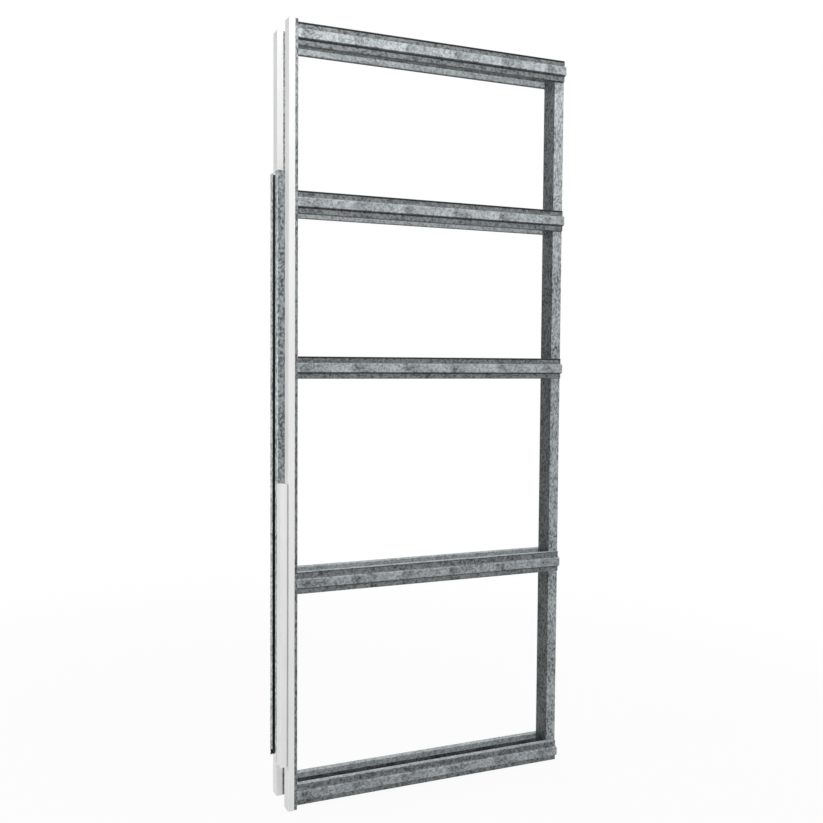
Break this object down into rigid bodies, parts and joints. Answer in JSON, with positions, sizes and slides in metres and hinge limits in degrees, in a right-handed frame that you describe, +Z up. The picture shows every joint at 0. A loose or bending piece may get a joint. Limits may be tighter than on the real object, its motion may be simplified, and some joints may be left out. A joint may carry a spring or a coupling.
{
  "type": "pocket door frame",
  "caption": "Galvanised pocket door frame: pressed ribbed rails on both sides of a door pocket, a rear post and white lined jambs, with head track and head liner packed in the mouth.",
  "frame": {"origin": "on the floor, under the middle of the whole frame's box", "axes": "+X from the mouth to the rear post, +Y from the front to the back, +Z up"},
  "size_m": [0.912, 0.12, 2.1],
  "materials": {
    "galvanised_rail": "spangled zinc, satin",
    "galvanised_post": "spangled zinc, satin",
    "galvanised_track": "spangled zinc, satin",
    "white_liner": "white primer, satin"
  },
  "bodies": {
    "root": {"front_floor_rail": "galvanised_rail", "back_floor_rail": "galvanised_rail", "front_low_rail": "galvanised_rail", "back_low_rail": "galvanised_rail", "front_middle_rail": "galvanised_rail", "back_middle_rail": "galvanised_rail", "front_high_rail": "galvanised_rail", "back_high_rail": "galvanised_rail", "front_top_rail": "galvanised_rail", "back_top_rail": "galvanised_rail", "front_floor_cleat": "galvanised_post", "back_floor_cleat": "galvanised_post", "front_low_cleat": "galvanised_post", "back_low_cleat": "galvanised_post", "front_middle_cleat": "galvanised_post", "back_middle_cleat": "galvanised_post", "front_high_cleat": "galvanised_post", "back_high_cleat": "galvanised_post", "front_top_cleat": "galvanised_post", "back_top_cleat": "galvanised_post", "rear_post": "galvanised_post", "front_upright": "galvanised_post", "back_upright": "galvanised_post", "floor_bridge": "galvanised_post", "head_bridge": "galvanised_post", "stowed_head_track": "galvanised_track", "front_jamb_liner": "white_liner", "back_jamb_liner": "white_liner", "stowed_head_liner": "white_liner"}
  },
  "joints": []
}
